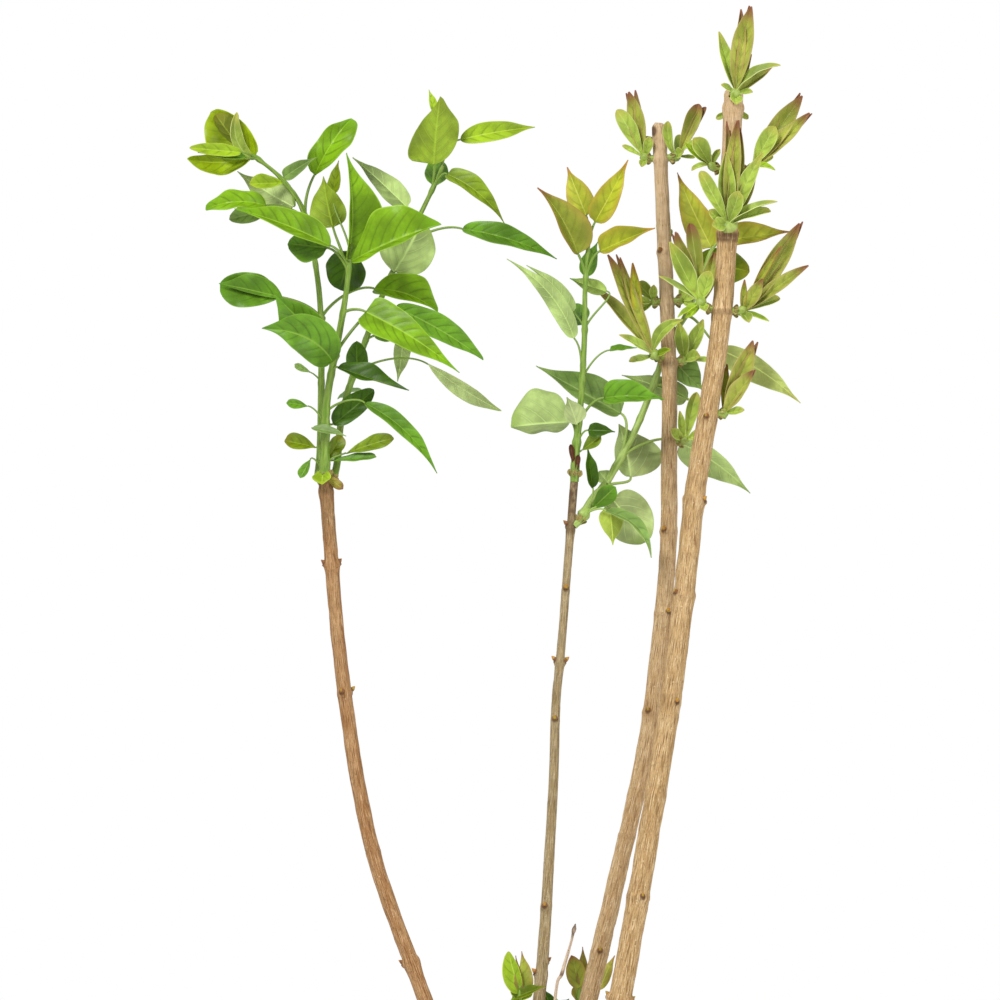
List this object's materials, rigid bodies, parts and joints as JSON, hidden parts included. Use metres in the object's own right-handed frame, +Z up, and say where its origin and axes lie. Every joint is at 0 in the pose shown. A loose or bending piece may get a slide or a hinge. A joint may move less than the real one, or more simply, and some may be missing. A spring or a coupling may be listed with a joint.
{
  "type": "lilac bush",
  "caption": "Young lilac shrub: slender cut-back woody stems rising from one root crown, with fresh leafy shoots and bud clusters near their tops.",
  "frame": {"origin": "on the flat cut under the root crown, at ground level, near its middle", "axes": "+X to the right and +Y to the back as the pictured side is seen, +Z up along the stems"},
  "size_m": [0.3418, 0.1047, 0.6935],
  "materials": {
    "bark_root": "rough bark",
    "bark_brown": "matte bark",
    "bark_grey": "matte bark",
    "bark_tan": "matte fissured bark",
    "foliage": "satin leaf"
  },
  "bodies": {
    "root": {"root_crown": "bark_root", "stem_left": "bark_brown", "stem_centre": "bark_grey", "dry_twig": "bark_grey", "stem_right_back": "bark_tan", "stem_right_front": "bark_tan", "foliage_left_front": "foliage", "foliage_left_back": "foliage", "foliage_left_inner": "foliage", "foliage_centre_top": "foliage", "foliage_centre_side": "foliage", "basal_shoot_left": "foliage", "basal_shoot_back": "foliage", "basal_shoot_right": "foliage", "cluster_back_top_left": "foliage", "cluster_back_top_right": "foliage", "cluster_back_high": "foliage", "cluster_back_middle_left": "foliage", "cluster_back_middle_right": "foliage", "cluster_back_low_left": "foliage", "cluster_back_low_right": "foliage", "cluster_back_foot": "foliage", "cluster_front_top": "foliage", "cluster_front_crest": "foliage", "cluster_front_upper_left": "foliage", "cluster_front_upper_right": "foliage", "cluster_front_middle": "foliage", "cluster_front_middle_rear": "foliage", "cluster_front_lower_left": "foliage", "cluster_front_lower_right": "foliage", "cluster_front_foot": "foliage"}
  },
  "joints": []
}
